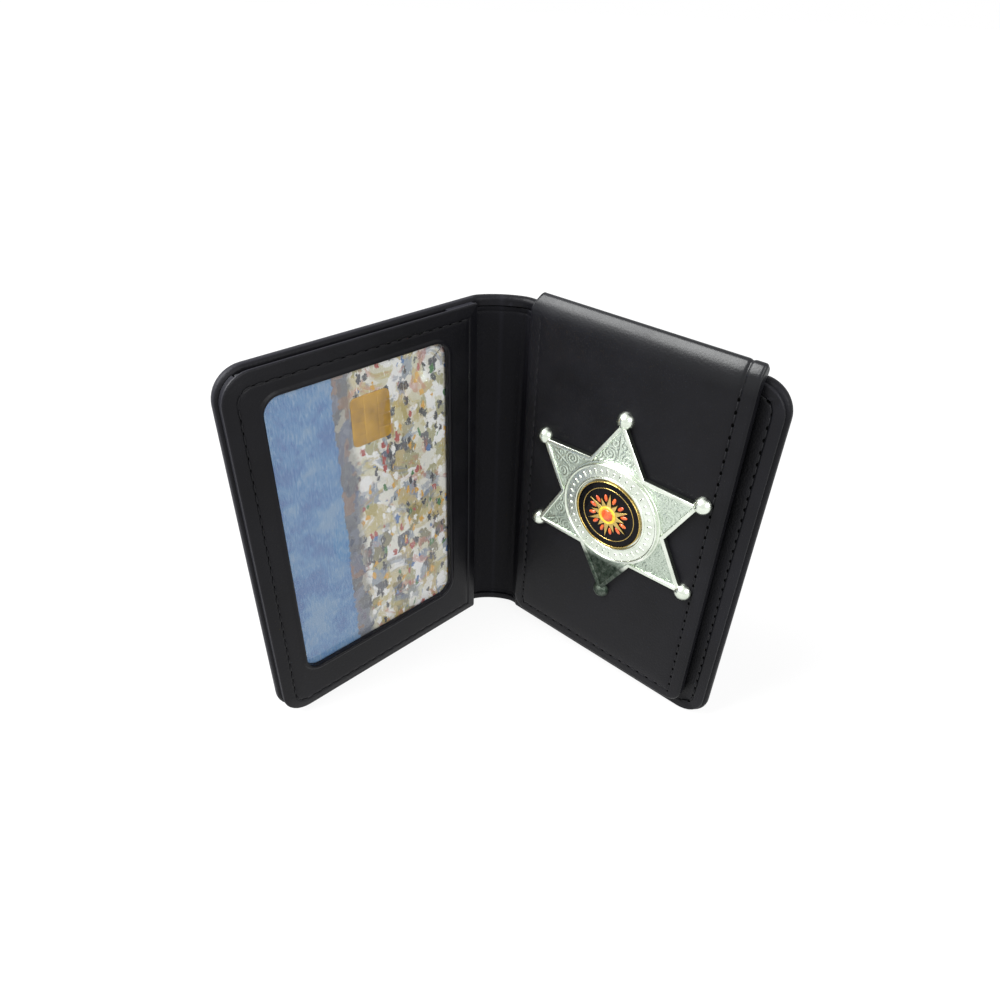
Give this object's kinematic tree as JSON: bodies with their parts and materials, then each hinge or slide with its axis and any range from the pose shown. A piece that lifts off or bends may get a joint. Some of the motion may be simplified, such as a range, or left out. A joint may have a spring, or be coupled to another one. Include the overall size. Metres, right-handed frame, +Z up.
{
  "type": "id badge wallet",
  "caption": "Folding leather wallet standing open, with a card behind a clear window on the left and a padded flap carrying a six-pointed metal badge on the right.",
  "frame": {"origin": "middle of the spine's lower edge, on the surface that the open wallet stands on", "axes": "+Z up along the spine, +X from the card cover to the badge cover, +Y out behind the spine"},
  "size_m": [0.1178, 0.0537, 0.106],
  "materials": {
    "outer_leather": "satin",
    "panel_leather": "satin",
    "lining_leather": "matte",
    "board": "matte",
    "clear_sheet": "gloss",
    "card_plastic": "gloss",
    "contact_gold": "satin",
    "padding": "matte",
    "badge_nickel": "polished",
    "badge_gold": "polished",
    "black_enamel": "gloss",
    "orange_enamel": "gloss",
    "washer_steel": "satin",
    "nut_brass": "satin"
  },
  "bodies": {
    "spine": {"spine_leather": "outer_leather", "spine_lining": "lining_leather"},
    "left_cover": {"left_cover_leather": "outer_leather", "left_cover_board": "board", "pocket_lining": "lining_leather", "window_frame": "panel_leather", "clear_window": "clear_sheet"},
    "card": {"id_card": "card_plastic", "card_contact_plate": "contact_gold"},
    "right_cover": {"right_cover_leather": "outer_leather", "right_cover_board": "board", "right_cover_lining": "lining_leather", "flap_hinge_strap": "panel_leather"},
    "badge_flap": {"flap_front_leather": "panel_leather", "flap_core_board": "board", "flap_back_leather": "lining_leather", "flap_roll_cord": "padding", "badge_star": "badge_nickel", "badge_centre_ring": "badge_nickel", "badge_bezel": "badge_gold", "enamel_disc": "black_enamel", "emblem_rays": "badge_gold", "emblem_stud": "orange_enamel", "upper_badge_washer": "washer_steel", "lower_badge_washer": "washer_steel", "upper_badge_nut": "nut_brass", "lower_badge_nut": "nut_brass"}
  },
  "joints": [
    {"name": "left_fold", "type": "hinge", "parent": "spine", "child": "left_cover", "pos_m": [-0.007, -0.0012, 0], "axis": [0, 0, 1], "range_deg": [-45, 45]},
    {"name": "right_fold", "type": "hinge", "parent": "spine", "child": "right_cover", "pos_m": [0.007, -0.0012, 0], "axis": [0, 0, -1], "range_deg": [-39, 51]},
    {"name": "flap_fold", "type": "hinge", "parent": "right_cover", "child": "badge_flap", "pos_m": [0.03101, -0.02534, 0.1036], "axis": [-0.7771, 0.6293, 0], "range_deg": [0, 240]},
    {"name": "card_slide", "type": "slide", "parent": "left_cover", "child": "card", "axis": [0, 0, 1], "range_m": [0, 0.09]}
  ]
}
